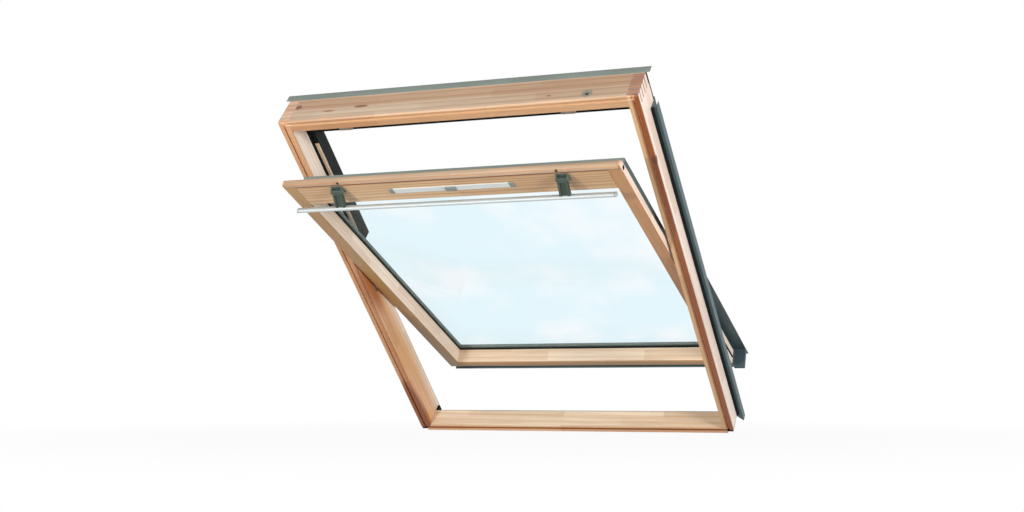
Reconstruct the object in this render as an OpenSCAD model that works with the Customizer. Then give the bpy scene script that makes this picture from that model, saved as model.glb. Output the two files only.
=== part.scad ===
// Centre-pivot roof window: pine frame, pivoting glazed sash and aluminium weather covers.
// Window coordinates: x across, y up the slope, z towards the room, origin at the middle
// of the frame's room face. The sash is drawn closed, then turned about its pivot, and the
// whole window is laid at the roof's pitch with +Z up.

/* [Setting] */
// Pitch of the roof, in degrees from level
roof_pitch = 43; // [25:1:65]
// Opening of the sash in the stored pose, in degrees from closed
open_angle = 19.6; // [5:0.1:40]

/* [Timber frame] */
// Width of the frame
frame_w = 1140; // [940:1:1340]
// Height of the frame along the slope
frame_h = 1398; // [1180:1:1600]
// Depth of the head and the jambs
frame_d = 108; // [104:1:120]
// Width of a jamb on the room face
jamb_face = 34; // [30:1:44]
// Width of the head on the room face
head_face = 38; // [32:1:46]
// Width of the sill on the room face
sill_face = 22; // [18:1:28]
// Step between the sill's outer face and the jambs' outer face
sill_step = 33; // [26:1:40]
// Width of the groove that takes the room lining
groove_w = 7; // [4:0.5:9]
// Depth of the lining groove
groove_d = 6; // [4:0.5:10]
// Distance from the frame's edge to the lining groove
groove_inset = 12; // [8:0.5:13]
// Chamfer along the head's upper arris on the room side
head_arris = 4; // [2:0.5:8]
// Fingers of each timber in a corner comb joint
comb_count = 5; // [3:1:6]
// Thickness of the head's fingers in a corner comb joint
finger_t = 6; // [4:0.5:9]
// Height of the sill that runs on under the jambs
sill_toe = 15; // [10:0.5:16]
// Distance from the frame's edge to the end of the sill
sill_inset = 21; // [10:0.5:26]
// Height of the rubber pad under a jamb's foot
foot_t = 7; // [4:0.5:9]

/* [Stops and seals] */
// Thickness of the stop lath on a jamb's upper half
stop_t = 21; // [18:0.5:24]
// Depth of the stop lath from the frame's outer face
lath_d = 34; // [30:0.5:38]
// Height above the pivot where the stop laths start
stop_start = 145; // [145:1:200]
// Length of the plastic corner block above a stop lath
corner_block_l = 105; // [60:1:130]
// Thickness of the rubber seal on a stop lath
stop_seal_t = 6; // [4:0.5:7]
// Width of the rubber seal on a sash stile
side_seal_w = 6; // [4:0.5:8]
// Thickness of the rubber seal on a sash stile
side_seal_t = 3; // [2:0.5:4]
// Width of the rubber seal on a stop lath
stop_seal_w = 7; // [5:0.5:9]

/* [Outer covers] */
// Thickness of the folded aluminium sheet
sheet = 1.5; // [1:0.1:2]
// Height of the hood above the timber
hood_rise = 24; // [21:0.5:30]
// Reach of the hood below the head
hood_reach = 95; // [80:1:100]
// Setback of the hood's sides from the frame's sides
hood_setback = 8; // [5:0.5:14]
// Length of the hood's upstand past the frame's sides
upstand_over = 13; // [2:0.5:18]
// Height of the rubber strip under the hood's sides
hood_strip_t = 4; // [3:0.5:6]
// Lap of the hood down the head's upper face
hood_lap = 2; // [1:0.5:6]
// Height of the side covers above the timber
cover_rise = 16; // [14:0.5:18]
// Distance from the frame's outer face to the flange of the side profile
flange_inset = 33; // [22:0.5:36]
// Width of the flange of the side profile
flange_w = 17; // [12:1:24]
// Height of the turned-up lip of the side profile
flange_lip = 24; // [6:1:30]
// Drop of the side profile's top end below the frame's top
profile_drop = 98; // [90:1:140]
// Length of the side profile past the frame's foot
profile_tail = 20; // [5:1:30]
// Height of the black seal beside the flange
profile_seal_h = 8.5; // [5:0.5:10]
// Width of the black seal beside the flange
profile_seal_w = 8; // [4:0.5:10]

/* [Sash] */
// Gap between the sash and a jamb
side_gap = 8; // [7:0.5:9]
// Gap between the sash and the sill
sill_gap = 5; // [4:0.5:7]
// Room under the head for the ventilation flap
flap_room = 26.5; // [25:0.5:30]
// Distance from the frame's outer face to the glazing seat of the sash
seat_inset = 15; // [13:0.5:18]
// Depth of the sash timber
sash_d = 53; // [50:0.5:56]
// Width of a stile on the room face
stile_face = 37.5; // [36:0.5:42]
// Flat left on the top rail's back above the glass
rail_flat = 8; // [5:0.5:12]
// Depth of the top rail's upper edge behind the flap
rail_edge = 2; // [1:0.5:4]
// Height of the top rail on the room face
top_rail_face = 100; // [98:1:120]
// Height of the bottom rail on the room face
bottom_rail_face = 30; // [26:1:36]
// Distance of the pivot axis from the frame's outer face
pivot_inset = 12; // [11.5:0.5:14]
// Gap between the sash's narrow outer half and the side cover
neck_gap = 2.5; // [2:0.5:5]

/* [Glazing] */
// Thickness of one pane
pane_t = 4; // [3:0.5:5]
// Width of the gas space between the panes
cavity = 10; // [8:0.5:11]
// Thickness of the gasket between timber and glass
gasket_t = 2.5; // [2:0.5:3]
// Width of the gasket that shows past the timber
gasket_show = 2; // [1:0.5:5]
// Height of the gasket that shows above the bottom rail
gasket_low = 4; // [2:0.5:8]
// Lap of the glass over the top rail
glass_top_lap = 36; // [30:1:44]
// Lap of the glass over the bottom rail
glass_lap = 16; // [12:1:20]
// Width of the spacer between the panes
spacer_w = 12; // [8:0.5:14]
// Sealed edge outside the spacer
spacer_inset = 14; // [10:0.5:16]

/* [Sash covers] */
// Thickness of the sash covers
cover_t = 2; // [1.5:0.1:2.2]
// Width that a bead or cover laps on to the glass
bead_lap = 13; // [9:0.5:20]
// Reach of a lower side cover over the jamb
cover_reach = 26; // [15:1:28]
// Distance below the pivot where the lower side covers start
cover_start = 105; // [105:1:140]
// Distance from the frame's foot to the skirt
skirt_gap = 5.5; // [5:0.5:8]
// Length of the covers past the skirt
drip = 40; // [10:1:50]
// Depth of the skirt under the covers
skirt_d = 68; // [44:0.5:70]
// Thickness of the catch block at the skirt's right end
catch_block_t = 14; // [8:1:18]

/* [Pivot hinges] */
// Radius of the pivot pin
pin_r = 5; // [4:0.5:6]
// Running clearance of a pin in its bore
running = 0.05; // [0.03:0.01:0.09]
// Thickness of a hinge plate
plate_t = 3; // [2.5:0.5:3.5]
// Half the length of a hinge plate
plate_half = 60; // [40:1:75]
// Width of a hinge plate
plate_w = 54; // [50:1:58]
// Radius of the boss around the pivot bore
boss_r = 7.5; // [7:0.5:8]
// Radius of a screw's shank
screw_r = 2; // [1.5:0.1:2.5]
// Length of a hinge screw's shank
screw_l = 20; // [14:1:24]
// Distance from a side cover's lower end to its first screw
screw_end = 60; // [30:1:90]
// Clearance around a screw's shank
screw_clear = 0.1; // [0.05:0.05:0.3]

/* [Control bar] */
// Length of the bar
bar_l = 994; // [700:1:1020]
// Width of the bar's section
bar_w = 20; // [16:0.5:22]
// Thickness of the bar's section
bar_t = 12; // [9:0.5:13]
// Length of a bar end cap outside the bar
bar_cap_l = 6; // [4:0.5:10]
// Distance of an arm from the middle of the window
arm_x = 354; // [260:1:380]
// Wall of an arm's cheeks
arm_wall = 6; // [4:0.5:8]
// Width of an arm
arm_w = 30; // [24:0.5:34]
// Distance of the arm's pin below the top rail's edge
arm_drop = 16; // [14:0.5:20]
// Height of the arm's pin above the sash's room face
arm_rise = 12; // [11:0.5:14]
// Distance of the bar below the arm's pin
bar_drop = 46; // [40:1:52]
// Distance of the bar in front of the arm's pin
bar_out = 30; // [26:1:36]
// Radius of an arm's pin
arm_pin_r = 2.5; // [2:0.25:3]
// Distance from an arm's pin to the lower end of its bracket
bracket_drop = 20; // [16:0.5:24]
// Distance from a bracket's upper end to the top rail's edge
bracket_inset = 4; // [2:0.5:6]
// Thickness of a bracket's ear
ear_t = 3; // [2:0.5:4]

/* [Ventilation flap and face plate] */
// Height of the flap
flap_h = 14.5; // [12:0.5:15]
// Chamfer along the flap's upper arris on the room side
flap_arris = 5; // [3:0.5:8]
// Thickness of the flap
flap_t = 18; // [16:0.5:20]
// Gap beside the flap and along the glazing edges
flap_gap = 0.5; // [0.3:0.1:0.8]
// Gap under the flap that lets its front edge tip down
flap_under = 1; // [0.9:0.1:1.5]
// Thickness of the stiles' horns beside the flap
horn_t = 5; // [4:0.5:8]
// Radius of the flap's end pins
flap_pin_r = 2; // [1.5:0.25:2.5]
// Distance from an arm to the hole beside it for a blind's fixing pin
blind_shift = 11; // [5:0.5:20]
// Radius of a hole for a blind's fixing pin
blind_hole_r = 4; // [2:0.25:4.5]
// Depth of a hole for a blind's fixing pin
blind_hole_d = 12; // [6:0.5:14]
// Distance from the top rail's edge to the middle of the face plate
face_plate_drop = 47; // [45:0.5:52]
// Length of the face plate on the top rail
face_plate_l = 364; // [240:1:420]
// Height of the face plate
face_plate_h = 24; // [16:0.5:26]
// Thickness of the face plate
face_plate_t = 2.5; // [1.5:0.5:3]
// Length of a face plate end cap
face_cap_l = 15; // [8:1:20]
// Length of the catch in the middle of the face plate
catch_l = 33; // [24:1:44]

/* [Small parts] */
// Radius of the barrel bolt
bolt_r = 5; // [4:0.5:5.5]
// Wall of the barrel bolt's housing and bush
tube_t = 3; // [2:0.5:3]
// Travel of the barrel bolt
bolt_travel = 18; // [14:1:20]
// Depth of the bolt's end inside its housing at rest
bolt_recess = 5; // [3:0.5:8]
// Length of the bush in the jamb
bush_l = 20; // [15:0.5:24]
// Depth of the barrel bolt's axis behind the sash's room face
bolt_depth = 17; // [14:0.5:18]
// Distance of the barrel bolt below the top rail's edge
bolt_drop = 19; // [17:1:40]
// Radius of the cable bore in the head's grommet
cable_r = 9; // [5:0.5:10]
// Distance of the cable bore from the head's right end
cable_inset = 154; // [80:1:220]
// Depth of the cable bore's axis from the room face
cable_depth = 26; // [24:1:34]
// Thickness of a striker plate
striker_t = 3; // [2:0.5:4]
// Distance from the room face to the inner end of a striker plate
striker_d = 38; // [30:1:44]
// Width of a striker plate
striker_w = 44; // [30:1:50]
// Drop of a striker plate's lip below the head
striker_lip = 11; // [6:0.5:11]

/* [Hidden] */
$fn = 48;
over = 1;
half_w = frame_w / 2;
half_h = frame_h / 2;
open_x = half_w - jamb_face;
open_top = half_h - head_face;
open_bottom = -half_h + sill_face;
slot_t = frame_d / comb_count;
jamb_foot = -half_h + sill_toe;
sill_end = half_w - sill_inset;
profile_top = half_h - profile_drop;
stop_x = open_x - stop_t;
neck_x = stop_x - sheet - neck_gap;

sash_x = open_x - side_gap;
stile_x = sash_x - stile_face;
rail_top = open_top - flap_room;
rail_low = rail_top - top_rail_face;
sash_bottom = open_bottom + sill_gap;
bottom_rail_top = sash_bottom + bottom_rail_face;
seat_z = seat_inset - frame_d;
face_z = seat_z + sash_d;
stop_z = lath_d - frame_d;
shoulder_z = stop_z + stop_seal_t + flap_gap;
sill_z = sill_step - frame_d;
flange_z = flange_inset - frame_d;
seal_z = flange_z + sheet + profile_seal_h;
cable_x = half_w - cable_inset;
neck_start = stop_start - 10;
flap_low = rail_top + flap_under;
flap_top = flap_low + flap_h;
flap_pin_y = flap_low + 2 * flap_pin_r;
flap_pin_z = face_z - flap_pin_r - 1;
flap_back = face_z - flap_t;
horn_x = sash_x - horn_t;
flap_pin_end = sash_x - 1;

pane_in_z = seat_z - gasket_t;
pane_out_z = pane_in_z - 2 * pane_t - cavity;
cover_z = pane_out_z - cover_t;
glass_edge = neck_x - sheet - flap_gap;
glass_bottom = sash_bottom + glass_lap;
glass_top = rail_low + glass_top_lap;
top_cover_y = glass_top + flap_gap + sheet;
bead_x = neck_x - bead_lap;

cover_x = sash_x + side_gap + cover_reach;
skirt_y = -half_h - skirt_gap;
skirt_z = pane_out_z + skirt_d;
skirt_x = sash_x - side_seal_t;
drip_y = skirt_y - sheet - drip;

pivot_z = pivot_inset - frame_d;
frame_plate_z = [-frame_d + 4, -frame_d + 4 + plate_w];
sash_plate_z = [-frame_d + 4, face_z - 14];
sash_plate_x = sash_x + 1;
boss_x = sash_plate_x + 0.3;
plate_screw_y = plate_half - 12;

arm_pin_y = rail_top - arm_drop;
arm_pin_z = face_z + arm_rise;
bar_y = arm_pin_y - bar_drop;
bar_z = arm_pin_z + bar_out;
bracket_t = 3;
ear_gap = 0.3;
face_plate_y = rail_top - face_plate_drop;
bolt_y = rail_top - bolt_drop;
bolt_z = face_z - bolt_depth;
bolt_back = stile_x + 5;
knob_r = 2.5;
knob_x = neck_x + knob_r + 0.5;
hood_z = -frame_d - hood_rise;
side_cover_z = -frame_d - cover_rise;
hood_x = half_w - hood_setback;
upstand_x = half_w + upstand_over;
hood_low = open_top - hood_reach;

pine = "#d0a583";
sash_pine = "#c9a87e";
cladding = "#5a6a6e";
rubber = "#22282a";
steel = "#a9adb0";
silver = "#d9dedf";
fitting = "#6f7d72";
glass_tint = "#e4f4fcb0";

// Helpers

// Box between the low and high values given for each axis
module block(x, y, z) {
    translate([x[0], y[0], z[0]])
        cube([x[1] - x[0], y[1] - y[0], z[1] - z[0]]);
}

// Extrudes a section drawn as [y, z] from x0 to x1
module along_x(x0, x1) {
    translate([x0, 0, 0])
        rotate([90, 0, 90])
            linear_extrude(x1 - x0)
                children();
}

// Round bar along x
module rod_x(x0, x1, y, z, r) {
    translate([x0, y, z])
        rotate([0, 90, 0])
            cylinder(h = x1 - x0, r = r);
}

// Round bar along z
module rod_z(x, y, z0, z1, r) {
    translate([x, y, z0])
        cylinder(h = z1 - z0, r = r);
}

module left_side() {
    mirror([1, 0, 0]) children();
}

module both_sides() {
    children();
    left_side() children();
}

// Lays a piece of the fixed frame at the roof's pitch
module on_frame() {
    rotate([180 - roof_pitch, 0, 0]) children();
}

// Lays a piece of the sash at the roof's pitch, turned open about the pivot
module on_sash() {
    on_frame()
        translate([0, 0, pivot_z])
            rotate([open_angle, 0, 0])
                translate([0, 0, -pivot_z])
                    children();
}

// Timber frame

module lining_groove() {
    outer_x = half_w - groove_inset;
    outer_y = half_h - groove_inset;
    difference() {
        block([-outer_x, outer_x], [-outer_y, outer_y], [-groove_d, over]);
        block([groove_w - outer_x, outer_x - groove_w],
              [groove_w - outer_y, outer_y - groove_w], [-groove_d - over, 2 * over]);
    }
}

module head_chamfer() {
    along_x(-half_w - over, half_w + over)
        polygon([[half_h - head_arris - over, over], [half_h + over, over],
                 [half_h + over, -head_arris - over]]);
}

// Fingers of a corner joint, thickness low to high within each step of the comb
module comb(low, high) {
    for (i = [0 : comb_count - 1])
        block([open_x, half_w], [open_top, half_h],
              [i * slot_t + low - frame_d, i * slot_t + high - frame_d]);
}

module cable_bore(r, y0, y1) {
    translate([cable_x, y1, -cable_depth])
        rotate([90, 0, 0])
            cylinder(h = y1 - y0, r = r);
}

module frame_head() {
    color(pine) on_frame() difference() {
        union() {
            block([-open_x, open_x], [open_top, half_h], [-frame_d, 0]);
            both_sides() comb(0, finger_t);
        }
        lining_groove();
        head_chamfer();
        cable_bore(cable_r + tube_t, open_top - over, half_h + over);
    }
}

// Places of the screws in one side cover, as [x, y]
function cover_screw_places() = [
    for (k = [0 : 2]) [open_x + jamb_face * 0.3,
                       stop_start + screw_end + k * (open_top - stop_start) / 3]
];

module cover_screw_holes() {
    for (place = cover_screw_places())
        rod_z(place[0], place[1], side_cover_z - over, -frame_d + screw_l, screw_r + screw_clear);
}

// Places of the screws in one frame hinge, as [y, z]
function frame_hinge_screw_places() = [
    for (y = [-plate_screw_y, plate_screw_y], k = [0.3, 0.8])
        [y, frame_plate_z[0] + k * plate_w]
];

module frame_jamb() {
    difference() {
        union() {
            block([open_x, half_w], [jamb_foot, open_top], [-frame_d, 0]);
            block([open_x, half_w], [-half_h, jamb_foot], [-frame_d, sill_z]);
            comb(finger_t, slot_t);
        }
        lining_groove();
        head_chamfer();
        block([half_w - sheet, half_w + over], [-half_h - over, profile_top],
              [-frame_d - over, seal_z]);
        block([open_x - over, open_x + plate_t], [-plate_half, plate_half], frame_plate_z);
        rod_x(open_x, open_x + plate_t + 9, 0, pivot_z, pin_r + over);
        for (place = frame_hinge_screw_places())
            rod_x(open_x, open_x + plate_t + screw_l, place[0], place[1], screw_r + screw_clear);
        cover_screw_holes();
    }
}

module frame_jamb_left() {
    color(pine) on_frame() left_side() frame_jamb();
}

module frame_jamb_right() {
    color(pine) on_frame() difference() {
        frame_jamb();
        rod_x(open_x - over, open_x + bush_l, bolt_y, bolt_z, bolt_r + tube_t);
    }
}

module frame_sill() {
    color(pine) on_frame() difference() {
        union() {
            block([-open_x, open_x], [-half_h, open_bottom], [sill_z, 0]);
            block([-sill_end, sill_end], [-half_h, jamb_foot], [sill_z, 0]);
        }
        lining_groove();
    }
}

module stop_lath() {
    block([stop_x, open_x], [stop_start, open_top - corner_block_l], [-frame_d, stop_z]);
}

module stop_lath_left() {
    color(pine) on_frame() left_side() stop_lath();
}

module stop_lath_right() {
    color(pine) on_frame() stop_lath();
}

module lath_facings() {
    color(rubber) on_frame() both_sides()
        block([stop_x - sheet, stop_x], [stop_start, open_top], [side_cover_z + sheet, stop_z]);
}

module stop_corner_blocks() {
    color(rubber) on_frame() both_sides()
        block([stop_x, open_x], [open_top - corner_block_l, open_top], [-frame_d, stop_z]);
}

module stop_seals() {
    color(rubber) on_frame() both_sides()
        block([open_x - stop_seal_w, open_x], [stop_start, open_top],
              [stop_z, stop_z + stop_seal_t]);
}

// Outer covers of the frame

module hood() {
    color(cladding) on_frame() {
        block([-hood_x, hood_x], [hood_low, half_h], [hood_z, hood_z + sheet]);
        block([-upstand_x, upstand_x], [half_h, half_h + sheet], [hood_z, hood_lap - frame_d]);
        block([-neck_x, neck_x], [hood_low, hood_low + sheet], [hood_z + sheet, hood_z + 5]);
        both_sides()
            block([hood_x - sheet, hood_x], [profile_top, half_h],
                  [hood_z + sheet, -frame_d - hood_strip_t]);
    }
}

module hood_side_strips() {
    color(rubber) on_frame() both_sides()
        block([hood_x - 4 * sheet, half_w + sheet], [profile_top, half_h],
              [-frame_d - hood_strip_t, -frame_d]);
}

module hood_seal() {
    color(rubber) on_frame()
        block([-neck_x, neck_x], [hood_low + sheet, hood_low + 10],
              [hood_z + sheet, cover_z - 2]);
}

module side_cover() {
    outer_x = half_w - sheet;
    difference() {
        union() {
            block([stop_x - sheet, outer_x + sheet], [stop_start, profile_top],
                  [side_cover_z, side_cover_z + sheet]);
            block([outer_x, outer_x + sheet], [stop_start, profile_top],
                  [side_cover_z + sheet, -frame_d - sheet]);
        }
        cover_screw_holes();
    }
}

module side_cover_left() {
    color(cladding) on_frame() left_side() side_cover();
}

module side_cover_right() {
    color(cladding) on_frame() side_cover();
}

module cover_screws() {
    color(steel) on_frame() both_sides()
        for (place = cover_screw_places()) {
            rod_z(place[0], place[1], side_cover_z - 2.5, side_cover_z, 5);
            rod_z(place[0], place[1], side_cover_z, -frame_d + screw_l, screw_r);
        }
}

// Folded strip along a jamb: a plate on its outer face, a web down its side, a flange
// standing out from it and a turned-up lip
module side_profile() {
    low = -half_h - profile_tail;
    web_x = half_w - sheet;
    edge_x = half_w + flange_w;
    difference() {
        union() {
            block([open_x, half_w], [-half_h, profile_top], [-frame_d - sheet, -frame_d]);
            block([web_x, half_w], [-half_h, profile_top], [-frame_d, flange_z]);
            translate([0, 0, flange_z])
                linear_extrude(sheet)
                    polygon([[web_x, -half_h], [edge_x, low], [edge_x, profile_top],
                             [web_x, profile_top]]);
            block([edge_x - sheet, edge_x], [low, profile_top],
                  [flange_z - flange_lip, flange_z]);
        }
        cover_screw_holes();
    }
}

module side_profile_left() {
    color(cladding) on_frame() left_side() side_profile();
}

module side_profile_right() {
    color(cladding) on_frame() side_profile();
}

module side_profile_seals() {
    color(rubber) on_frame() both_sides()
        block([half_w - sheet, half_w + profile_seal_w], [jamb_foot, profile_top],
              [sheet + flange_z, seal_z]);
}

module sill_profile() {
    color(cladding) on_frame()
        block([-sash_x, sash_x], [-half_h, open_bottom], [sill_z - sheet, sill_z]);
}

module foot_pads() {
    color(rubber) on_frame() both_sides()
        block([sash_x + over, open_x], [-half_h, open_bottom], [-frame_d + 8, sill_z]);
}

module jamb_feet() {
    color(rubber) on_frame() both_sides()
        block([sill_end, half_w - sheet], [jamb_foot - foot_t, jamb_foot], [sill_z, 0]);
}

// Pivot hinges: a plate with a bored boss let into each jamb

module frame_hinge() {
    difference() {
        union() {
            block([open_x, open_x + plate_t], [-plate_half, plate_half], frame_plate_z);
            rod_x(boss_x + plate_t, open_x, 0, pivot_z, boss_r);
        }
        rod_x(boss_x, open_x + plate_t + over, 0, pivot_z, pin_r + running);
        for (place = frame_hinge_screw_places())
            rod_x(open_x - over, open_x + plate_t + over, place[0], place[1],
                  screw_r + screw_clear);
    }
}

module frame_hinge_left() {
    color(steel) on_frame() left_side() frame_hinge();
}

module frame_hinge_right() {
    color(steel) on_frame() frame_hinge();
}

module frame_hinge_screws() {
    color(steel) on_frame() both_sides()
        for (place = frame_hinge_screw_places()) {
            rod_x(open_x - 1.5, open_x, place[0], place[1], 2 * screw_r);
            rod_x(open_x, open_x + plate_t + screw_l, place[0], place[1], screw_r);
        }
}

module striker_plates() {
    color(steel) on_frame() both_sides() {
        block([arm_x - striker_w / 2, arm_x + striker_w / 2],
              [open_top - striker_t, open_top], [-striker_d, -striker_t]);
        block([arm_x - striker_w / 2, arm_x + striker_w / 2],
              [open_top - striker_lip, open_top - striker_t], [-2 * striker_t, -striker_t]);
    }
}

module cable_grommet() {
    color("#cfc6b4") on_frame() difference() {
        union() {
            cable_bore(cable_r + tube_t, open_top, half_h);
            cable_bore(cable_r + 2 * tube_t, half_h, half_h + sheet);
        }
        cable_bore(cable_r, open_top - over, half_h + sheet + over);
    }
}

module bolt_bush() {
    color(steel) on_frame() difference() {
        rod_x(open_x, open_x + bush_l, bolt_y, bolt_z, bolt_r + tube_t);
        rod_x(open_x - over, open_x + bush_l + over, bolt_y, bolt_z, bolt_r + 0.5);
    }
}

// Sash timber

module sash_top_rail() {
    color(sash_pine) on_sash()
        along_x(-stile_x, stile_x)
            polygon([[rail_low, face_z], [rail_top, face_z], [rail_top, flap_back - rail_edge],
                     [glass_top + rail_flat, seat_z], [rail_low, seat_z]]);
}

module sash_bottom_rail() {
    color(sash_pine) on_sash()
        block([-stile_x, stile_x], [sash_bottom, bottom_rail_top], [seat_z, face_z]);
}

// Places of the screws in one sash hinge, as [y, z]
function sash_hinge_screw_places() = [
    for (y = [-plate_screw_y, plate_screw_y], k = [0.4, 0.7])
        [y, seat_z + k * (sash_plate_z[1] - seat_z)]
];

module flap_chamfer() {
    along_x(-sash_x - over, sash_x + over)
        polygon([[flap_top - flap_arris - over, face_z + over], [flap_top + over, face_z + over],
                 [flap_top + over, face_z - flap_arris - over]]);
}

module sash_stile() {
    difference() {
        union() {
            block([stile_x, sash_x], [sash_bottom, rail_top], [seat_z, face_z]);
            block([horn_x, sash_x], [rail_top, flap_top], [flap_back, face_z]);
        }
        flap_chamfer();
        block([neck_x, sash_x + over], [neck_start, flap_top + over], [seat_z - over, shoulder_z]);
        along_x(stile_x - over, neck_x)
            polygon([[rail_top + over, flap_back - rail_edge], [rail_top, flap_back - rail_edge],
                     [glass_top + rail_flat, seat_z], [glass_top + rail_flat, seat_z - over],
                     [rail_top + over, seat_z - over]]);
        block([sash_plate_x - plate_t, sash_x + over], [-plate_half, plate_half], sash_plate_z);
        rod_x(horn_x - over, flap_pin_end + 0.3, flap_pin_y, flap_pin_z, flap_pin_r + running);
        for (place = sash_hinge_screw_places())
            rod_x(sash_x - screw_l, sash_x, place[0], place[1], screw_r + screw_clear);
    }
}

module sash_stile_left() {
    color(sash_pine) on_sash() left_side() sash_stile();
}

module knob_slot() {
    block([neck_x, sash_x + over], [bolt_y - knob_r - 1, bolt_y + knob_r + 1],
          [shoulder_z - over, bolt_z]);
}

module sash_stile_right() {
    color(sash_pine) on_sash() difference() {
        sash_stile();
        rod_x(bolt_back, sash_x + over, bolt_y, bolt_z, bolt_r + tube_t);
        knob_slot();
    }
}

// Insulating glass

module pane(z0) {
    block([-glass_edge, glass_edge], [glass_bottom, glass_top], [z0 - pane_t, z0]);
}

module pane_inner() {
    color(glass_tint) on_sash() pane(pane_in_z);
}

module pane_outer() {
    color(glass_tint) on_sash() pane(pane_out_z + pane_t);
}

module pane_spacer() {
    side = glass_edge - spacer_inset;
    low = glass_bottom + spacer_inset;
    high = glass_top - spacer_inset;
    top_z = pane_in_z - pane_t;
    color(steel) on_sash() difference() {
        block([-side, side], [low, high], [top_z - cavity, top_z]);
        block([spacer_w - side, side - spacer_w], [low + spacer_w, high - spacer_w],
              [top_z - cavity - over, top_z + over]);
    }
}

module glazing_gasket() {
    hole_x = stile_x - gasket_show;
    color(rubber) on_sash() difference() {
        block([-glass_edge, glass_edge], [glass_bottom, glass_top], [pane_in_z, seat_z]);
        block([-hole_x, hole_x], [bottom_rail_top + gasket_low, rail_low - gasket_show],
              [pane_in_z - over, seat_z + over]);
    }
}

// Outer covers of the sash

module bead() {
    block([bead_x, neck_x], [-cover_start, glass_top], [cover_z, pane_out_z]);
    block([neck_x - sheet, neck_x], [-cover_start, glass_top], [pane_out_z, seat_z]);
}

module bead_left() {
    color(cladding) on_sash() left_side() bead();
}

module bead_right() {
    color(cladding) on_sash() bead();
}

module sash_cover_top() {
    color(cladding) on_sash() {
        block([-bead_x, bead_x], [rail_low + 4, top_cover_y - sheet], [cover_z, pane_out_z]);
        block([-neck_x, neck_x], [top_cover_y - sheet, top_cover_y], [cover_z, seat_z]);
    }
}

module sash_cover() {
    block([bead_x, cover_x], [drip_y, -cover_start], [cover_z, pane_out_z]);
    block([neck_x - sheet, neck_x], [sash_bottom, -cover_start], [pane_out_z, seat_z]);
}

module sash_cover_left() {
    color(cladding) on_sash() left_side() sash_cover();
}

module sash_cover_right() {
    color(cladding) on_sash() sash_cover();
}

module sash_cover_bottom() {
    color(cladding) on_sash() {
        block([-bead_x, bead_x], [drip_y, glass_bottom + bead_lap], [cover_z, pane_out_z]);
        block([-skirt_x, skirt_x], [skirt_y - sheet, skirt_y], [pane_out_z, skirt_z]);
    }
}

module skirt_catch() {
    color(rubber) on_sash()
        block([skirt_x, cover_x], [skirt_y - catch_block_t, skirt_y],
              [pane_out_z, skirt_z]);
}

module sash_side_seals() {
    color(rubber) on_sash() both_sides()
        block([sash_x, sash_x + side_seal_t], [sash_bottom + 2 * side_seal_w, -cover_start],
              [shoulder_z, shoulder_z + side_seal_w]);
}

module sash_bottom_seal() {
    color(rubber) on_sash()
        block([-stile_x, stile_x], [sash_bottom - 3, sash_bottom], [seat_z + 3, seat_z + 9]);
}

// Pivot hinges on the sash

module sash_hinge() {
    difference() {
        block([sash_plate_x - plate_t, sash_plate_x], [-plate_half, plate_half], sash_plate_z);
        rod_x(sash_x - plate_t - over, sash_x + plate_t + over, 0, pivot_z, pin_r);
        for (place = sash_hinge_screw_places())
            rod_x(sash_x - plate_t - over, sash_x + plate_t + over, place[0], place[1],
                  screw_r + screw_clear);
    }
}

module sash_hinge_left() {
    color(steel) on_sash() left_side() sash_hinge();
}

module sash_hinge_right() {
    color(steel) on_sash() sash_hinge();
}

module pivot_pins() {
    color(steel) on_sash() both_sides()
        rod_x(sash_plate_x - plate_t, open_x + plate_t + 6, 0, pivot_z, pin_r);
}

module sash_hinge_screws() {
    color(steel) on_sash() both_sides()
        for (place = sash_hinge_screw_places()) {
            rod_x(sash_plate_x, sash_plate_x + 1.5, place[0], place[1], 2 * screw_r);
            rod_x(sash_x - screw_l, sash_plate_x, place[0], place[1], screw_r);
        }
}

// Face plate on the top rail

module face_plate() {
    color(silver) on_sash()
        block([-face_plate_l / 2, face_plate_l / 2],
              [face_plate_y - face_plate_h / 2, face_plate_y + face_plate_h / 2],
              [face_z, face_z + face_plate_t]);
}

module face_plate_caps() {
    color(fitting) on_sash() both_sides()
        block([face_plate_l / 2, face_plate_l / 2 + face_cap_l],
              [face_plate_y - face_plate_h / 2, face_plate_y + face_plate_h / 2],
              [face_z, face_z + face_plate_t + 0.5]);
}

module face_plate_catch() {
    color(fitting) on_sash()
        block([-catch_l / 2, catch_l / 2],
              [face_plate_y - face_plate_h / 2 + 2, face_plate_y + face_plate_h / 2 - 2],
              [face_z + face_plate_t, face_z + face_plate_t + 4]);
}

// Control bar on two arms

module bar_brackets() {
    ear_x = arm_w / 2 + ear_gap;
    color(fitting) on_sash() both_sides() difference() {
        union() {
            block([arm_x - ear_x - ear_t, arm_x + ear_x + ear_t],
                  [arm_pin_y - bracket_drop, rail_top - bracket_inset],
                  [face_z, face_z + bracket_t]);
            for (side = [-1, 1]) {
                inner = arm_x + side * ear_x;
                outer = inner + side * ear_t;
                along_x(min(inner, outer), max(inner, outer)) {
                    translate([arm_pin_y, arm_pin_z])
                        circle(r = 3 * arm_pin_r);
                    polygon([[arm_pin_y - 3 * arm_pin_r, arm_pin_z],
                             [arm_pin_y - 3 * arm_pin_r - 4, face_z + bracket_t],
                             [arm_pin_y + 3 * arm_pin_r + 4, face_z + bracket_t],
                             [arm_pin_y + 3 * arm_pin_r, arm_pin_z]]);
                }
            }
        }
        rod_x(arm_x - ear_x - ear_t - over, arm_x + ear_x + ear_t + over,
              arm_pin_y, arm_pin_z, arm_pin_r);
    }
}

module bar_pins() {
    half_pin = arm_w / 2 + ear_gap + ear_t;
    color(steel) on_sash() both_sides()
        rod_x(arm_x - half_pin, arm_x + half_pin, arm_pin_y, arm_pin_z, arm_pin_r);
}

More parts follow.
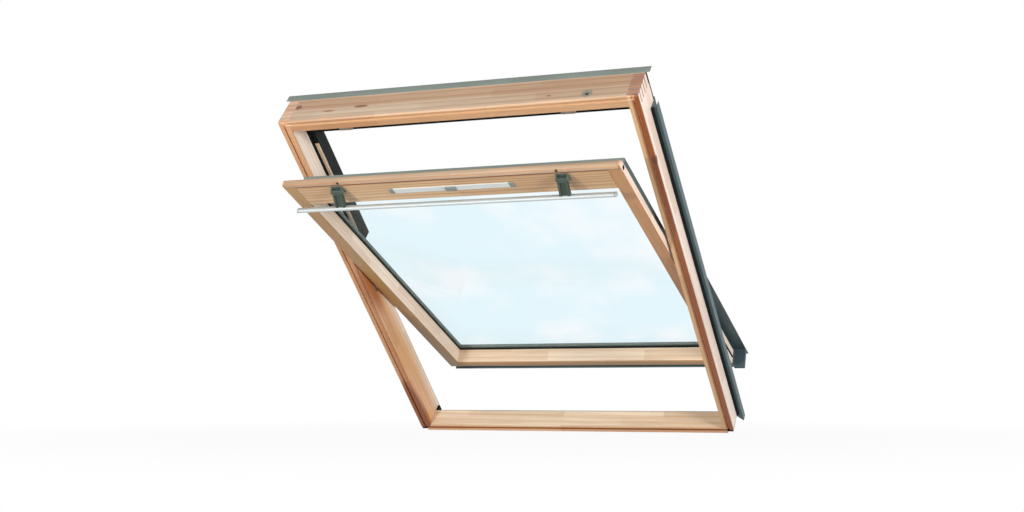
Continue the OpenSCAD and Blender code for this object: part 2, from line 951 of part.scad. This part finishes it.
// Section of the bar: a flat with round edges, tilted so that its broad face looks
// towards the room and down
module bar_section(grow) {
    flat = bar_w - bar_t;
    translate([bar_y, bar_z])
        rotate(55) {
            translate([-flat / 2, -bar_t / 2 - grow])
                square([flat, bar_t + 2 * grow]);
            for (side = [-1, 1])
                translate([side * flat / 2, 0])
                    circle(r = bar_t / 2 + grow);
        }
}

module control_bar() {
    color(silver) on_sash()
        along_x(-bar_l / 2, bar_l / 2)
            bar_section(0);
}

module bar_end_caps() {
    color(fitting) on_sash() both_sides()
        along_x(bar_l / 2, bar_l / 2 + bar_cap_l)
            bar_section(0);
}

// An arm: a boss on the pin, a straight web between two cheeks and a foot on the bar's back
module bar_arms() {
    boss = 2.6 * arm_pin_r;
    foot = [bar_y + 0.25 * bar_drop, bar_z - 0.1 * bar_out];
    color(fitting) on_sash() both_sides() difference() {
        along_x(arm_x - arm_w / 2, arm_x + arm_w / 2)
            hull() {
                translate([arm_pin_y, arm_pin_z]) circle(r = boss, $fn = 32);
                translate(foot) circle(r = boss, $fn = 32);
                translate([bar_y + 2, bar_z - 3]) circle(r = boss, $fn = 32);
            }
        rod_x(arm_x - arm_w, arm_x + arm_w, arm_pin_y, arm_pin_z, arm_pin_r + running);
        along_x(arm_x - arm_w, arm_x + arm_w)
            bar_section(0);
        along_x(arm_x - arm_w / 2 + arm_wall, arm_x + arm_w / 2 - arm_wall)
            translate([arm_pin_y, arm_pin_z])
                rotate(atan2(foot[1] - arm_pin_z, foot[0] - arm_pin_y))
                    translate([1.5 * boss, -3 * boss])
                        square([2 * bar_drop, 3 * boss]);
    }
}

// Ventilation flap along the sash's top edge

module vent_flap() {
    end_x = horn_x - flap_gap;
    color(sash_pine) on_sash() difference() {
        block([-end_x, end_x], [flap_low, flap_top], [flap_back, face_z]);
        flap_chamfer();
        both_sides() {
            rod_x(end_x - 12, end_x + over, flap_pin_y, flap_pin_z, flap_pin_r);
            rod_z(arm_x - blind_shift, flap_low + flap_h / 2, face_z - blind_hole_d, face_z + over,
                  blind_hole_r);
        }
    }
}

module flap_pins() {
    end_x = horn_x - flap_gap;
    color(steel) on_sash() both_sides()
        rod_x(end_x - 12, flap_pin_end, flap_pin_y, flap_pin_z, flap_pin_r);
}

// Barrel bolt in the right stile

module bolt_housing() {
    color(steel) on_sash() difference() {
        rod_x(bolt_back, sash_x, bolt_y, bolt_z, bolt_r + tube_t);
        rod_x(bolt_back - over, sash_x + over, bolt_y, bolt_z, bolt_r + running);
        knob_slot();
    }
}

module barrel_bolt() {
    color(steel) on_sash() {
        rod_x(bolt_back, sash_x - bolt_recess, bolt_y, bolt_z, bolt_r);
        rod_z(knob_x, bolt_y, shoulder_z + flap_gap, bolt_z, knob_r);
    }
}

frame_head();
frame_jamb_left();
frame_jamb_right();
frame_sill();
stop_lath_left();
stop_lath_right();
lath_facings();
stop_corner_blocks();
stop_seals();
hood();
hood_seal();
hood_side_strips();
side_cover_left();
side_cover_right();
cover_screws();
side_profile_left();
side_profile_right();
side_profile_seals();
sill_profile();
foot_pads();
jamb_feet();
frame_hinge_left();
frame_hinge_right();
frame_hinge_screws();
striker_plates();
cable_grommet();
bolt_bush();
sash_top_rail();
sash_bottom_rail();
sash_stile_left();
sash_stile_right();
pane_outer();
pane_inner();
pane_spacer();
glazing_gasket();
bead_left();
bead_right();
sash_cover_top();
sash_cover_left();
sash_cover_right();
sash_cover_bottom();
skirt_catch();
sash_side_seals();
sash_bottom_seal();
sash_hinge_left();
sash_hinge_right();
pivot_pins();
sash_hinge_screws();
face_plate();
face_plate_caps();
face_plate_catch();
bar_brackets();
bar_pins();
bolt_housing();
control_bar();
bar_end_caps();
bar_arms();
vent_flap();
flap_pins();
barrel_bolt();
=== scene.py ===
from math import radians

import bpy
import numpy as np
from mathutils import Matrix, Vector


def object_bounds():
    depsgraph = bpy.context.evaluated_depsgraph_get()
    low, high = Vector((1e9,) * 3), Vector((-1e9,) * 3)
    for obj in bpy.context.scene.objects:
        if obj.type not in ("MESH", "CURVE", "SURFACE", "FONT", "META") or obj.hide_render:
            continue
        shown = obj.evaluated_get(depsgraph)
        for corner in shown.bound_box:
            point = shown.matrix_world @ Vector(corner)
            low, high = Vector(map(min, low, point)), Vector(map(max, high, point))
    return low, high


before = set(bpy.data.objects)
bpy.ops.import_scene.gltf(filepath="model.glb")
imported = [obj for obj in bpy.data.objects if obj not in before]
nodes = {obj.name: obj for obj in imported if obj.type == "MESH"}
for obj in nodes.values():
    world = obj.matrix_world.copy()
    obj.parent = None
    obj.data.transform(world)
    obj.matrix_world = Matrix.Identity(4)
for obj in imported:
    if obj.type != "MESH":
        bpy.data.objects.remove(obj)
cad_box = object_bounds()

# Timber frame: head, two jambs and sill of finger-jointed pine, planed, lacquered clear and
# comb-jointed at the top corners. The grain runs along each timber and end grain is darker.
roof_pitch = radians(43)
on_frame = (roof_pitch, 0.0, 0.0)
frame_end_x = 0.570
sill_end_x = 0.549
frame_top = 0.699
jamb_foot = -0.684
groove_x = 0.5545
groove_y = 0.6835
groove_deep = 0.003


def linear(colour):
    """sRGB hex to linear RGBA: c / 12.92 up to 0.04045, above it ((c + 0.055) / 1.055) ** 2.4."""
    c = np.array([int(colour[i:i + 2], 16) for i in (1, 3, 5)]) / 255
    return (*np.where(c <= 0.04045, c / 12.92, ((c + 0.055) / 1.055) ** 2.4), 1.0)


def add(tree, kind, inputs=None, links=None, **properties):
    """Adds one shader node with its properties, its input values and the sockets linked to it."""
    node = tree.nodes.new("ShaderNode" + kind)
    for name, value in properties.items():
        setattr(node, name, value)
    for name, value in (inputs or {}).items():
        node.inputs[name].default_value = value
    for name, source in (links or {}).items():
        tree.links.new(source, node.inputs[name])
    return node


def material(name, roughness, metallic=0.0):
    """New material of that name: its node tree, its shader and its Object coordinates."""
    made = bpy.data.materials.new(name)
    made.use_nodes = True
    tree = made.node_tree
    shader = tree.nodes["Principled BSDF"]
    shader.inputs["Roughness"].default_value = roughness
    shader.inputs["Metallic"].default_value = metallic
    return made, tree, shader, tree.nodes.new("ShaderNodeTexCoord").outputs["Object"]


def give(made, *names):
    """The material goes into every slot of these CAD nodes."""
    for name in names:
        mesh = nodes[name].data
        mesh.materials.clear()
        mesh.materials.append(made)


def ease(width, *names):
    """Arrises of these CAD nodes are eased: loose triangles weld, flat faces join into one,
    and edges sharper than 35 degrees get a two-step round of that width in metres."""
    for name in names:
        weld = nodes[name].modifiers.new("weld", "WELD")
        weld.merge_threshold = 0.00001
        flat = nodes[name].modifiers.new("flat faces", "DECIMATE")
        flat.decimate_type = "DISSOLVE"
        flat.angle_limit = radians(0.3)
        round_edge = nodes[name].modifiers.new("eased arris", "BEVEL")
        round_edge.limit_method = "ANGLE"
        round_edge.angle_limit = radians(35)
        round_edge.width = width
        round_edge.segments = 2


def pine(name, early, late, laid, lengthwise, pith, ends, face, marks=(), ring=0.008,
         end_tint="#d9b090"):
    """Lacquered pine in axes along, across and deep, in metres; laid is the timber's pitch and its
    shift up the slope and into the room. Rings run round a pith and are drawn 8 mm or more apart,
    coarser than the real 3 mm, so that they show; fibres are 1.5 mm wide and staves 0.36 m long
    differ in tone. The face is (deep, tint), a tint multiplied into the outer 4 mm of the room side; a
    mark is (blend, along, across, deep, radius, stretch, colour), mixed in for a knot and multiplied for
    a streak, and also used for painted shade and for grooves painted over to lift their shade; end grain
    lies within 1.5 mm of the ends."""
    cloud_size, fibre_size, room_side_t, end_grain = 0.07, 0.003, 0.004, 0.0015
    stave_length, stave_height = 0.36, 0.036
    made, tree, shader, place = material(name, 0.45)
    shader.inputs["Coat Weight"].default_value = 0.15
    shader.inputs["Coat Roughness"].default_value = 0.3
    pitch, up, out = laid
    turned = add(tree, "Mapping", {"Rotation": (pitch, 0, radians(90) if lengthwise else 0),
                                   "Location": (up, 0, out) if lengthwise else (0, -up, out)},
                 {"Vector": place}).outputs["Vector"]
    axes = add(tree, "SeparateXYZ", None, {"Vector": turned})
    log = add(tree, "Mapping", {"Location": pith, "Scale": (0.08, 1, 1)}, {"Vector": turned})
    rings = add(tree, "TexWave", {"Scale": 0.314 / ring, "Distortion": 5.0, "Detail": 2.0,
                                  "Detail Scale": 0.3}, {"Vector": log.outputs["Vector"]},
                wave_type="RINGS", rings_direction="X", wave_profile="SAW")
    summer = add(tree, "MapRange", {"From Min": 0.35, "From Max": 1.0}, {"Value": rings.outputs["Fac"]},
                 interpolation_type="SMOOTHSTEP")
    cloud = add(tree, "TexNoise", {"Scale": 1 / cloud_size, "Detail": 3.0},
                {"Vector": log.outputs["Vector"]})
    shade = add(tree, "Math", {1: 0.55}, {0: summer.outputs[0], 2: cloud.outputs["Fac"]},
                operation="MULTIPLY_ADD")
    tone = add(tree, "MapRange", {"From Min": 0.3, "From Max": 1.1}, {"Value": shade.outputs[0]})
    wood = add(tree, "Mix", {6: linear(early), 7: linear(late)}, {0: tone.outputs[0]},
               data_type="RGBA")
    thread = add(tree, "Mapping", {"Location": pith, "Scale": (0.02, 1, 1)}, {"Vector": turned})
    fibre = add(tree, "TexNoise", {"Scale": 1 / fibre_size, "Detail": 3.0},
                {"Vector": thread.outputs["Vector"]})
    streak = add(tree, "MapRange", {"From Min": 0.3, "From Max": 0.7, "To Min": 0.84, "To Max": 1.06},
                 {"Value": fibre.outputs["Fac"]})
    colour = add(tree, "Mix", {0: 1.0}, {6: wood.outputs[2], 7: streak.outputs[0]}, data_type="RGBA",
                 blend_type="MULTIPLY").outputs[2]
    layers = add(tree, "Mapping", {"Location": pith, "Rotation": (radians(90), 0, 0)}, {"Vector": turned})
    stave = add(tree, "TexBrick", {"Color1": linear("#ffffff"), "Color2": linear("#ede4dd"),
                                   "Scale": 1.0, "Mortar Size": 0.0, "Brick Width": stave_length,
                                   "Row Height": stave_height},
                {"Vector": layers.outputs["Vector"]}, offset=0.4)
    colour = add(tree, "Mix", {0: 1.0}, {6: colour, 7: stave.outputs["Color"]}, data_type="RGBA",
                 blend_type="MULTIPLY").outputs[2]
    room_side_mask = add(tree, "MapRange", {"From Min": face[0] + 1.1 * room_side_t,
                                     "From Max": face[0] + room_side_t}, {"Value": axes.outputs["Z"]})
    colour = add(tree, "Mix", {7: linear(face[1])}, {0: room_side_mask.outputs[0], 6: colour},
                 data_type="RGBA", blend_type="MULTIPLY").outputs[2]
    for blend, along, across, deep, radius, stretch, dark in marks:
        squeezed = add(tree, "Mapping", {"Location": (-along / stretch, -across, -deep),
                                         "Scale": (1 / stretch, 1, 1)}, {"Vector": turned})
        far = add(tree, "VectorMath", None, {0: squeezed.outputs["Vector"]}, operation="LENGTH")
        spot = add(tree, "MapRange", {"From Min": radius, "From Max": radius * 0.65},
                   {"Value": far.outputs["Value"]}, interpolation_type="SMOOTHSTEP")
        colour = add(tree, "Mix", {7: linear(dark)}, {0: spot.outputs[0], 6: colour}, data_type="RGBA",
                     blend_type=blend).outputs[2]
    offset = add(tree, "Math", {1: (ends[0] + ends[1]) / 2}, {0: axes.outputs["X"]}, operation="SUBTRACT")
    reach = add(tree, "Math", None, {0: offset.outputs[0]}, operation="ABSOLUTE")
    half = (ends[1] - ends[0]) / 2
    end = add(tree, "MapRange", {"From Min": half - end_grain, "From Max": half - end_grain / 3,
                                 "To Max": 0.85}, {"Value": reach.outputs[0]},
              interpolation_type="SMOOTHSTEP")
    colour = add(tree, "Mix", {7: linear(end_tint)}, {0: end.outputs[0], 6: colour}, data_type="RGBA",
                 blend_type="MULTIPLY").outputs[2]
    tree.links.new(colour, shader.inputs["Base Color"])
    gloss = add(tree, "MapRange", {"To Min": 0.54, "To Max": 0.38}, {"Value": fibre.outputs["Fac"]})
    tree.links.new(gloss.outputs[0], shader.inputs["Roughness"])
    raised = add(tree, "Bump", {"Strength": 0.25, "Distance": 0.0003}, {"Height": fibre.outputs["Fac"]})
    tree.links.new(raised.outputs["Normal"], shader.inputs["Normal"])
    return made


endless = 1000
groove_r = 0.0055
give(pine("pine head, lacquered", "#c6b29a", "#b29374", on_frame, False, (0.1, 0.66, 0.09),
          (-frame_end_x, frame_end_x), (0.0, "#ffe8d2"),
          [  # four knots
           ("MIX", -0.524, -frame_top, 0.070, 0.012, 1, "#74462a"),
           ("MIX", -0.305, -frame_top, 0.052, 0.007, 4, "#7a4a2c"),
           ("MIX", -0.410, -frame_top, 0.040, 0.0045, 5, "#8a5a3a"),
           ("MIX", 0.300, -frame_top, 0.030, 0.0045, 2, "#8a5a3a"),
           # red heartwood at the right end, a warm band under the hood, the lining groove painted in a
           # flat lighter tone that lifts its shade
           ("MIX", 0.560, -0.700, 0.050, 0.058, 0.5, "#ad7853"),
           ("MULTIPLY", 0, -frame_top, 0.078, 0.030, endless, "#eddccf"),
           ("MIX", 0, -groove_y, groove_deep, groove_r, endless, "#d2aa80")],
          0.024, "#a87858"), "frame_head")
give(pine("pine left jamb, lacquered", "#faeadb", "#efd8c2", on_frame, True, (0.3, 0.52, 0.1),
          (jamb_foot, frame_top), (0.0, "#cca884"),
          [  # the lining groove in a flat tone that lifts its shade, painted shade at the foot, darker below the sash, the sash's painted shadow where it crosses
           ("MIX", 0, -groove_x, groove_deep, groove_r, endless, "#c89b72"),
           ("MULTIPLY", -0.640, -0.556, 0.0, 0.034, 7, "#c09458"),
           ("MULTIPLY", -0.400, -0.470, 0.034, 0.104, 8, "#e0ba8e"),
           ("MULTIPLY", 0.000, -0.470, 0.034, 0.102, 2.2, "#c89a6e")],
          0.016, "#d2b49a"), "frame_jamb_left")
give(pine("pine right jamb, lacquered", "#efe2d8", "#e6d2c4", on_frame, True, (0.7, -0.52, 0.1),
          (jamb_foot, frame_top), (0.0, "#d8bc96"),
          [  # a brown band along the outer edge, the lining groove in a flat lighter tone that lifts its shade, a knot
           ("MULTIPLY", 0, 0.560, -0.006, 0.0165, endless, "#ae744a"),
           ("MIX", 0, groove_x, groove_deep, groove_r, endless, "#b88458"),
           ("MIX", 0.470, 0.566, 0.002, 0.0125, 1.5, "#663820")],
          0.012, "#9a6a4c"), "frame_jamb_right")
give(pine("pine sill, lacquered", "#ead4ba", "#dabc98", on_frame, False, (0.4, -0.6, 0.12),
          (-sill_end_x, sill_end_x), (0.0, "#f4dccb"),
          # painted shade along the lining groove
          [("MULTIPLY", 0, groove_y, groove_deep, 0.0062, endless, "#b08c64")], 0.022), "frame_sill")
ease(0.0008, "frame_head", "frame_jamb_left", "frame_jamb_right", "frame_sill")

# Stop laths on the upper half of the jambs: pine strips nailed to the jambs, the same wood
# left plain, which the closed sash meets.
lath_top = 0.556
give(pine("pine stop lath, lacquered", "#f6e6d2", "#e6caa8", on_frame, True, (0.1, 0.4, 0.15),
          (0.0, lath_top), (0.0, "#ffffff")), "stop_lath_left", "stop_lath_right")
ease(0.001, "stop_lath_left", "stop_lath_right")

# Rubber seals along stops, hood, side profiles and feet: extruded black rubber, pressed into
# grooves or glued on, dull with a faint bloom.
made, tree, shader, place = material("extruded black rubber", 0.7)
shader.inputs["Specular IOR Level"].default_value = 0.08
bloom = add(tree, "TexNoise", {"Scale": 1 / 0.02, "Detail": 4.0}, {"Vector": place})
tint = add(tree, "Mix", {6: linear("#0c1011"), 7: linear("#1c2223")}, {0: bloom.outputs["Fac"]},
           data_type="RGBA")
tree.links.new(tint.outputs[2], shader.inputs["Base Color"])
give(made, "stop_seals", "hood_seal", "hood_side_strips", "side_profile_seals", "foot_pads",
     "jamb_feet", "glazing_gasket", "sash_side_seals", "sash_bottom_seal")
ease(0.0006, "stop_seals", "hood_side_strips", "side_profile_seals", "foot_pads", "jamb_feet")

# Facings and blocks beside the stop laths and the housing of the barrel bolt: moulded plastic,
# matt green-black with a fine spark-eroded grain, pushed in and screwed.
def moulded(name, dark, pale, *names):
    """Plastic of two tones, mixed by a 1.2 mm spark-eroded grain that also raises the surface."""
    made, tree, shader, place = material(name, 0.5)
    shader.inputs["Specular IOR Level"].default_value = 0.1
    grain = add(tree, "TexNoise", {"Scale": 1 / 0.0012, "Detail": 2.0}, {"Vector": place})
    tint = add(tree, "Mix", {6: linear(dark), 7: linear(pale)}, {0: grain.outputs["Fac"]},
               data_type="RGBA")
    tree.links.new(tint.outputs[2], shader.inputs["Base Color"])
    raised = add(tree, "Bump", {"Strength": 0.3, "Distance": 0.0002}, {"Height": grain.outputs["Fac"]})
    tree.links.new(raised.outputs["Normal"], shader.inputs["Normal"])
    give(made, *names)


moulded("moulded green-black plastic", "#0a0f0f", "#151c1b", "stop_corner_blocks", "lath_facings",
        "bolt_housing")
ease(0.0012, "stop_corner_blocks")

# Weather covers on the outside of frame and sash: folded aluminium sheet, coil-coated matt grey,
# screwed to the timber. The coating has a fine orange peel and a little dust; hood and top cover
# are a paler copy with painted light, the covers beside the sash a copy darker than the teal-grey rest,
# with painted shade.
def coated(name, dark, pale, *names):
    """Coil coating of two tones, mixed by dust clouds of 0.12 m, with a 2 mm orange peel."""
    made, tree, shader, place = material(name, 0.5)
    peel = add(tree, "TexNoise", {"Scale": 1 / 0.002, "Detail": 2.0}, {"Vector": place})
    dust = add(tree, "TexNoise", {"Scale": 1 / 0.12, "Detail": 5.0}, {"Vector": place})
    tint = add(tree, "Mix", {6: linear(dark), 7: linear(pale)}, {0: dust.outputs["Fac"]},
               data_type="RGBA")
    tree.links.new(tint.outputs[2], shader.inputs["Base Color"])
    raised = add(tree, "Bump", {"Strength": 0.15, "Distance": 0.0002}, {"Height": peel.outputs["Fac"]})
    tree.links.new(raised.outputs["Normal"], shader.inputs["Normal"])
    give(made, *names)
    ease(0.0004, *names)


# hood and top cover: a paler copy of the coating, with painted light
coated("paler grey coated aluminium with painted light", "#5f6963", "#7c867d", "hood", "sash_cover_top")
# covers beside the sash: a darker copy of the coating, with painted shade
coated("shaded grey coated aluminium", "#1d272a", "#2f3b3f", "side_cover_left", "side_cover_right")
coated("teal-grey coated aluminium", "#33454a", "#4c6064", "side_profile_left",
       "side_profile_right", "sill_profile", "bead_left", "bead_right", "sash_cover_left",
       "sash_cover_right", "sash_cover_bottom")

# Catch block under the right end of the skirt: moulded blue-black plastic with eased edges,
# screwed to the bottom cover.
moulded("moulded blue-black plastic", "#37444c", "#4e5d66", "skirt_catch")
ease(0.0012, "skirt_catch")

# Hinges, pins, screws, strikers and the barrel bolt: stamped and turned steel with a slightly
# mottled zinc coat, bright on the hinges, dulled on the strikers that are screwed under the head.
def plated(name, dark, pale, *names):
    """Zinc coat of two tones, mixed by a 6 mm mottle that also dulls its gloss."""
    made, tree, shader, place = material(name, 0.35, 1.0)
    mottle = add(tree, "TexNoise", {"Scale": 1 / 0.006, "Detail": 3.0}, {"Vector": place})
    tint = add(tree, "Mix", {6: linear(dark), 7: linear(pale)}, {0: mottle.outputs["Fac"]},
               data_type="RGBA")
    tree.links.new(tint.outputs[2], shader.inputs["Base Color"])
    dull = add(tree, "MapRange", {"To Min": 0.28, "To Max": 0.48}, {"Value": mottle.outputs["Fac"]})
    tree.links.new(dull.outputs[0], shader.inputs["Roughness"])
    give(made, *names)


plated("zinc-plated steel", "#9a9fa3", "#c3c7ca", "cover_screws", "frame_hinge_left",
       "frame_hinge_right", "frame_hinge_screws", "bolt_bush", "sash_hinge_left",
       "sash_hinge_right", "pivot_pins", "sash_hinge_screws", "bar_pins", "flap_pins",
       "barrel_bolt")
plated("dulled zinc-plated steel", "#c0b9ad", "#d8d1c6", "striker_plates")

# Cable grommet near the right end of the head: moulded grey-beige plastic with a fine grain,
# pushed into its bore.
moulded("moulded grey-beige plastic", "#7e786c", "#969084", "cable_grommet")

# Sash timber: two stiles that run through, the rails between them and the ventilation flap
# on top, the same pine, laid at the pitch of the open sash.
sash_pitch = radians(43 - 19.6)
stile_x = 0.4905
sash_end_x = 0.528
sash_top = 0.650
sash_foot = -0.672
pivot_depth = 0.096
opened = roof_pitch - sash_pitch
on_sash = (sash_pitch, pivot_depth * np.sin(opened), pivot_depth * (1 - np.cos(opened)))
room_face = 0.040
rail_top = 0.6345
flap_low = 0.6355
hole_x = 0.343
hole_y = 0.643
give(pine("pine top rail, lacquered", "#d6b68d", "#b08255", on_sash, False, (0.2, 0.5, 0.1),
          (-stile_x, stile_x), (room_face, "#ffffff"),
          [  # painted shade along the joint under the flap
           ("MULTIPLY", 0, -rail_top, room_face, 0.0035, endless, "#94623f")]), "sash_top_rail")
give(pine("pine flap, lacquered", "#c4b092", "#b29578", on_sash, False, (0.7, 0.52, 0.05),
          (-sash_end_x, sash_end_x), (room_face, "#ffffff"),
          [  # paler wood on top, the chamfer, painted shade along the joint below, painted shade in the two blind holes
           ("MULTIPLY", 0, -0.660, 0.064, 0.026, endless, "#ece4e4"),
           ("MULTIPLY", 0, -sash_top, room_face, 0.0060, endless, "#f4e0d8"),
           ("MULTIPLY", 0, -flap_low, room_face, 0.0024, endless, "#b08260")]
          + [("MIX", side * hole_x, -hole_y, 0.042, 0.0062, 1, "#2c1a10") for side in (-1, 1)],
          0.012, "#d6cabe"), "vent_flap")
give(pine("pine bottom rail, lacquered", "#f5e2ca", "#e8caa8", on_sash, False, (0.5, -0.6, 0.1),
          (-stile_x, stile_x), (room_face, "#c0a070"), (), 0.022), "sash_bottom_rail")
give(pine("pine left stile, lacquered", "#faecdc", "#f0d8c0", on_sash, True, (0.1, 0.5, 0.12),
          (sash_foot, sash_top), (room_face, "#ae9060"), (), 0.014), "sash_stile_left")
give(pine("pine right stile, lacquered", "#f7e8dc", "#eed6c2", on_sash, True, (0.6, -0.5, 0.12),
          (sash_foot, sash_top), (room_face, "#bc9264"), (), 0.012), "sash_stile_right")
ease(0.0012, "sash_top_rail", "sash_bottom_rail", "sash_stile_left", "sash_stile_right", "vent_flap")

# Insulating glass: two float panes, clear with a cool tint and a painted reflection of faint clouds.
# Light passes straight through for shadows, so that the timber behind is lit.
made, tree, shader, place = material("float glass", 0.0)
# a painted reflection of faint clouds mixed into the glass tint
painted_cloud_reflection = add(tree, "TexNoise", {"Scale": 1 / 0.3, "Detail": 4.0, "Roughness": 0.55}, {"Vector": place})
painted_cloud_mask = add(tree, "MapRange", {"From Min": 0.42, "From Max": 0.68}, {"Value": painted_cloud_reflection.outputs["Fac"]},
           interpolation_type="SMOOTHSTEP")
tint = add(tree, "Mix", {6: linear("#f1fbfe"), 7: linear("#fafdff")}, {0: painted_cloud_mask.outputs[0]},
           data_type="RGBA")
tree.links.new(tint.outputs[2], shader.inputs["Base Color"])
shader.inputs["Transmission Weight"].default_value = 1.0
shader.inputs["IOR"].default_value = 1.08
ray = add(tree, "LightPath")
clear = add(tree, "BsdfTransparent", {"Color": linear("#fbfdfe")})
either = add(tree, "Math", None, {0: ray.outputs["Is Shadow Ray"], 1: ray.outputs["Is Diffuse Ray"]},
             operation="MAXIMUM")
passed = add(tree, "MixShader", None, {0: either.outputs[0], 1: shader.outputs[0],
                                       2: clear.outputs[0]})
tree.links.new(passed.outputs[0], tree.nodes["Material Output"].inputs["Surface"])
give(made, "pane_outer", "pane_inner")

# Spacer between the panes: a rolled metal and plastic strip, grey-green, with a row of fine
# vent dots too small to show.
made, tree, shader, place = material("grey-green spacer strip", 0.5, 0.2)
rolled = add(tree, "TexNoise", {"Scale": 1 / 0.004, "Detail": 2.0}, {"Vector": place})
tint = add(tree, "Mix", {6: linear("#5c655f"), 7: linear("#78827a")}, {0: rolled.outputs["Fac"]},
           data_type="RGBA")
tree.links.new(tint.outputs[2], shader.inputs["Base Color"])
give(made, "pane_spacer")

# Control bar and face plate: extruded aluminium, anodised silver, with fine draw lines along
# their length; the handled bar is duller than the plate.
def anodised(name, dark, pale, *names):
    """Anodised aluminium of two tones, mixed by draw lines 1.5 mm wide along x."""
    made, tree, shader, place = material(name, 0.45, 0.15)
    drawn = add(tree, "Mapping", {"Scale": (0.01, 1, 1)}, {"Vector": place})
    lines = add(tree, "TexNoise", {"Scale": 1 / 0.0015, "Detail": 3.0},
                {"Vector": drawn.outputs["Vector"]})
    tint = add(tree, "Mix", {6: linear(dark), 7: linear(pale)}, {0: lines.outputs["Fac"]},
               data_type="RGBA")
    tree.links.new(tint.outputs[2], shader.inputs["Base Color"])
    give(made, *names)


anodised("anodised dull silver aluminium", "#a0a7a7", "#b8bebd", "control_bar")
anodised("anodised pale silver aluminium", "#bfc4c3", "#d9dcda", "face_plate")
ease(0.0005, "face_plate")

# Arms and brackets of the bar, its end caps, and the caps and catch of the face plate: moulded
# plastic, dark green-grey for the levers with the arms a still darker copy as painted shade, paler for
# the caps, screwed or pushed on.
# the arms: the bracket plastic darkened further as painted shade on their sides
moulded("moulded green-grey plastic darkened as painted shade", "#2e3931", "#4b574f", "bar_arms")
moulded("moulded green-grey plastic", "#3c4840", "#5e6a61", "bar_brackets")
moulded("moulded mid-grey plastic", "#757e79", "#8d958f", "face_plate_caps", "face_plate_catch")
moulded("moulded pale grey plastic", "#8d9896", "#a4aeac", "bar_end_caps")
ease(0.0007, "bar_arms", "bar_brackets", "face_plate_caps", "face_plate_catch", "bar_end_caps")

# Studio: a pale floor under the foot of the frame that turns plain white away from the object,
# an even white surround, a broad lamp on the right and a smaller one low on the left.
made, tree, shader, place = material("pale studio floor", 0.9)
shader.inputs["Base Color"].default_value = linear("#d4d4d4")
ray = add(tree, "LightPath")
mirrored = add(tree, "Math", None, {0: ray.outputs["Is Camera Ray"], 1: ray.outputs["Is Glossy Ray"]},
               operation="MAXIMUM")
seen = add(tree, "Math", None, {0: mirrored.outputs[0], 1: ray.outputs["Is Transmission Ray"]},
           operation="MAXIMUM")
away = add(tree, "VectorMath", None, {0: place}, operation="LENGTH")
fade = add(tree, "MapRange", {"From Min": 0.9, "From Max": 2.6, "To Min": 0.93, "To Max": 1.0},
           {"Value": away.outputs["Value"]}, interpolation_type="SMOOTHSTEP")
share = add(tree, "Math", None, {0: seen.outputs[0], 1: fade.outputs[0]}, operation="MULTIPLY")
white = add(tree, "Emission", {"Color": (1, 1, 1, 1), "Strength": 1.0})
mixed = add(tree, "MixShader", None, {0: share.outputs[0], 1: shader.outputs[0],
                                      2: white.outputs[0]})
tree.links.new(mixed.outputs[0], tree.nodes["Material Output"].inputs["Surface"])
floor_mesh = bpy.data.meshes.new("floor")
floor_z = float(cad_box[0][2]) - 0.002
floor_half = 30
corners = [[x * floor_half, y * floor_half, floor_z] for x, y in ((-1, -1), (1, -1), (1, 1), (-1, 1))]
floor_mesh.from_pydata(corners, [], [[0, 1, 2, 3]])
floor_mesh.materials.append(made)
floor = bpy.data.objects.new("floor", floor_mesh)
bpy.context.scene.collection.objects.link(floor)

world = bpy.data.worlds.new("white surround")
world.use_nodes = True
bpy.context.scene.world = world
tree = world.node_tree
ray = add(tree, "LightPath")
direct = add(tree, "Math", None, {0: ray.outputs["Is Camera Ray"],
                                  1: ray.outputs["Is Transmission Ray"]}, operation="MAXIMUM")
shown = add(tree, "Math", None, {0: direct.outputs[0], 1: ray.outputs["Is Glossy Ray"]},
            operation="MAXIMUM")
strength = add(tree, "MapRange", {"To Min": 0.45, "To Max": 1.0}, {"Value": shown.outputs[0]})
sky = tree.nodes["Background"]
sky.inputs["Color"].default_value = (1, 1, 1, 1)
tree.links.new(strength.outputs[0], sky.inputs["Strength"])

for name, place_m, size, power in (
        ("lamp on the right", (4.6, -2.8, 0.3), 1.4, 215),
        ("lamp in front on the left", (-1.25, -3.7, 0.0), 0.3, 95)):
    lamp = bpy.data.lights.new(name, "AREA")
    lamp.size = size
    lamp.energy = power
    holder = bpy.data.objects.new(name, lamp)
    holder.location = place_m
    away = np.array(place_m)
    holder.rotation_euler = (np.arctan2(np.hypot(away[0], away[1]), away[2]), 0,
                             np.arctan2(away[1], away[0]) + radians(90))
    bpy.context.scene.collection.objects.link(holder)

# Camera: where the photograph was taken from, below the sash and to its right, found by fitting
# the edges of frame and sash. Lengths are in metres, the focal length in pixels of the photograph.
sensor_mm = 36
focal_px = 1524.69
photo_px = 1024
camera = bpy.data.cameras.new("camera")
camera.sensor_width = sensor_mm
camera.lens = sensor_mm * focal_px / photo_px
holder = bpy.data.objects.new("camera", camera)
holder.location = (1.81916, -4.46401, -0.30819)
holder.rotation_euler = (radians(94.7443), radians(0.1258), radians(22.3392))
bpy.context.scene.collection.objects.link(holder)
bpy.context.scene.camera = holder
bpy.context.scene.view_settings.view_transform = "Standard"
